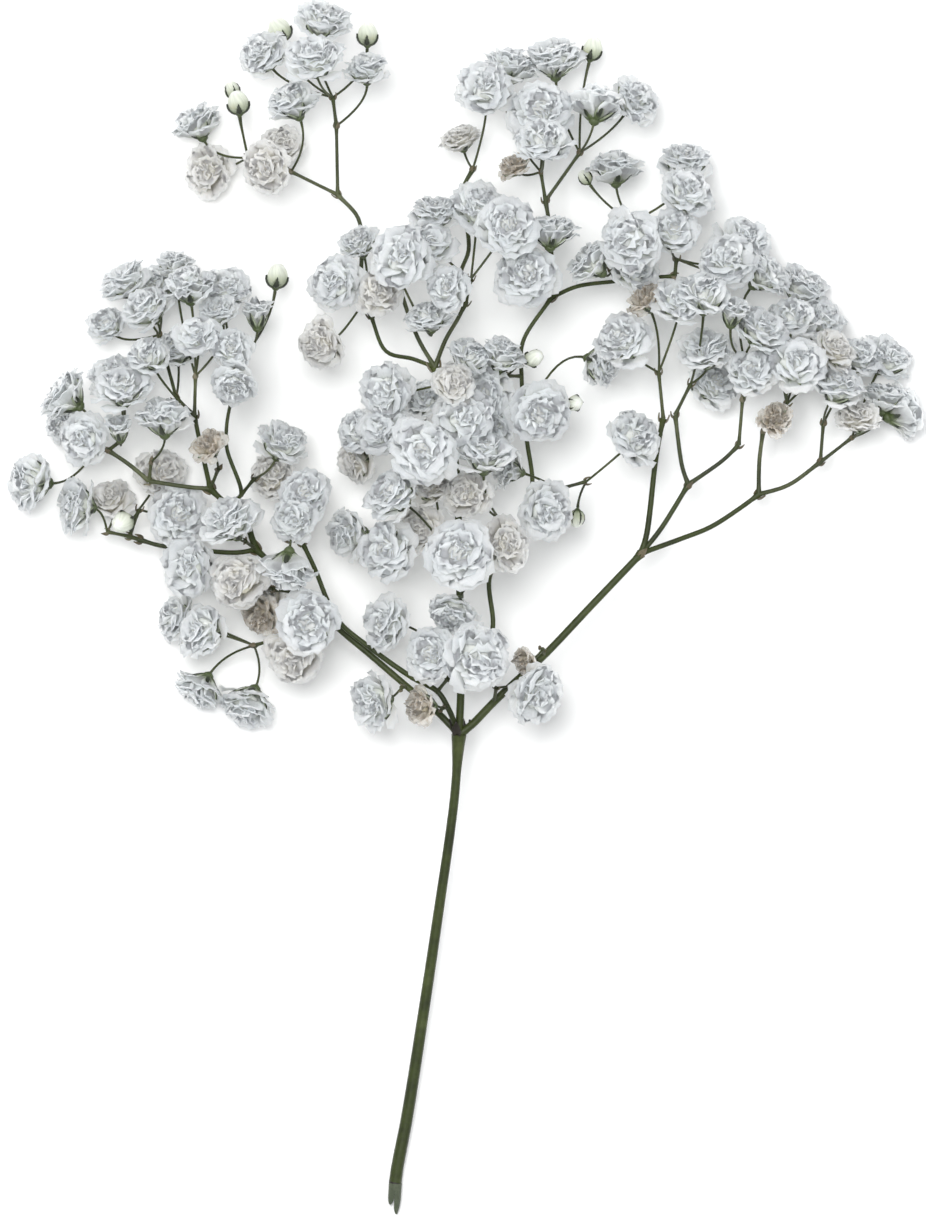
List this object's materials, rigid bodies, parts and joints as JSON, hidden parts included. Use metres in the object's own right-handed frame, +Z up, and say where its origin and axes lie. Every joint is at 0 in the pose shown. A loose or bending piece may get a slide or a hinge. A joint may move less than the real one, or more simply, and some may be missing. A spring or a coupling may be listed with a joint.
{
  "type": "cut gypsophila sprig",
  "caption": "Cut gypsophila sprig lying on its back: a thin forked green stem that opens into a wide airy spray of small double white flowers and buds.",
  "frame": {"origin": "bottom centre of the sprig's box, on the surface that it lies on", "axes": "+Y runs along the sprig from the cut end of the stem to the top of the spray, +Z up from the surface"},
  "size_m": [0.1524, 0.2024, 0.0375],
  "materials": {
    "petal": "soft, thin, slightly translucent white petals with cream hearts and cool grey-blue shade",
    "stem": "dull olive-green herbaceous stem, faintly ribbed, satin",
    "calyx": "light green cup with dark olive sepals and pale papery margins",
    "bract": "thin dry papery scales at the forks, pale grey-brown"
  },
  "bodies": {
    "root": {"main_stem": "stem", "branch_centre": "stem", "branch_left": "stem", "branch_left_inner": "stem", "branch_right": "stem", "branch_inner_right": "stem", "branch_left_far": "stem", "branch_left_middle": "stem", "branch_left_tall": "stem", "branch_left_high": "stem", "branch_right_upright": "stem", "branch_right_middle": "stem", "branch_right_low": "stem", "branch_upper_side": "stem", "branch_upper_right": "stem", "spray_top_left_crest": "petal", "spray_top_left_tip": "petal", "spray_top_middle": "petal", "spray_top_right": "petal", "spray_upper_crown": "petal", "spray_top_inner": "petal", "spray_upper_right_top": "petal", "spray_upper_right": "petal", "spray_upper_right_inner": "petal", "spray_upper_middle": "petal", "spray_upper_front": "petal", "spray_upper_left": "petal", "spray_centre_top": "petal", "spray_centre_right": "petal", "spray_centre_heart": "petal", "spray_centre_low_left": "petal", "spray_inner_low": "petal", "spray_inner_middle": "petal", "spray_side_twig": "petal", "spray_inner_upper": "petal", "spray_crown_front": "petal", "flower_crown_left": "petal", "flower_crown_cream": "petal", "flower_crown_shade": "petal", "flower_right_node": "petal", "flower_right_old": "petal", "spray_lower_left_hang": "petal", "spray_lower_left_big": "petal", "spray_lower_left": "petal", "spray_left_inner": "petal", "spray_left_fork": "petal", "flower_left_shade": "petal", "spray_left_far": "petal", "spray_left_front": "petal", "spray_left_edge": "petal", "spray_left_middle": "petal", "spray_left_upper": "petal", "spray_left_tall": "petal", "flower_left_old": "petal", "flower_left_side": "petal", "spray_right_upright": "petal", "spray_right_a": "petal", "spray_right_b": "petal", "spray_right_c": "petal", "spray_right_tip": "petal"}
  },
  "joints": []
}
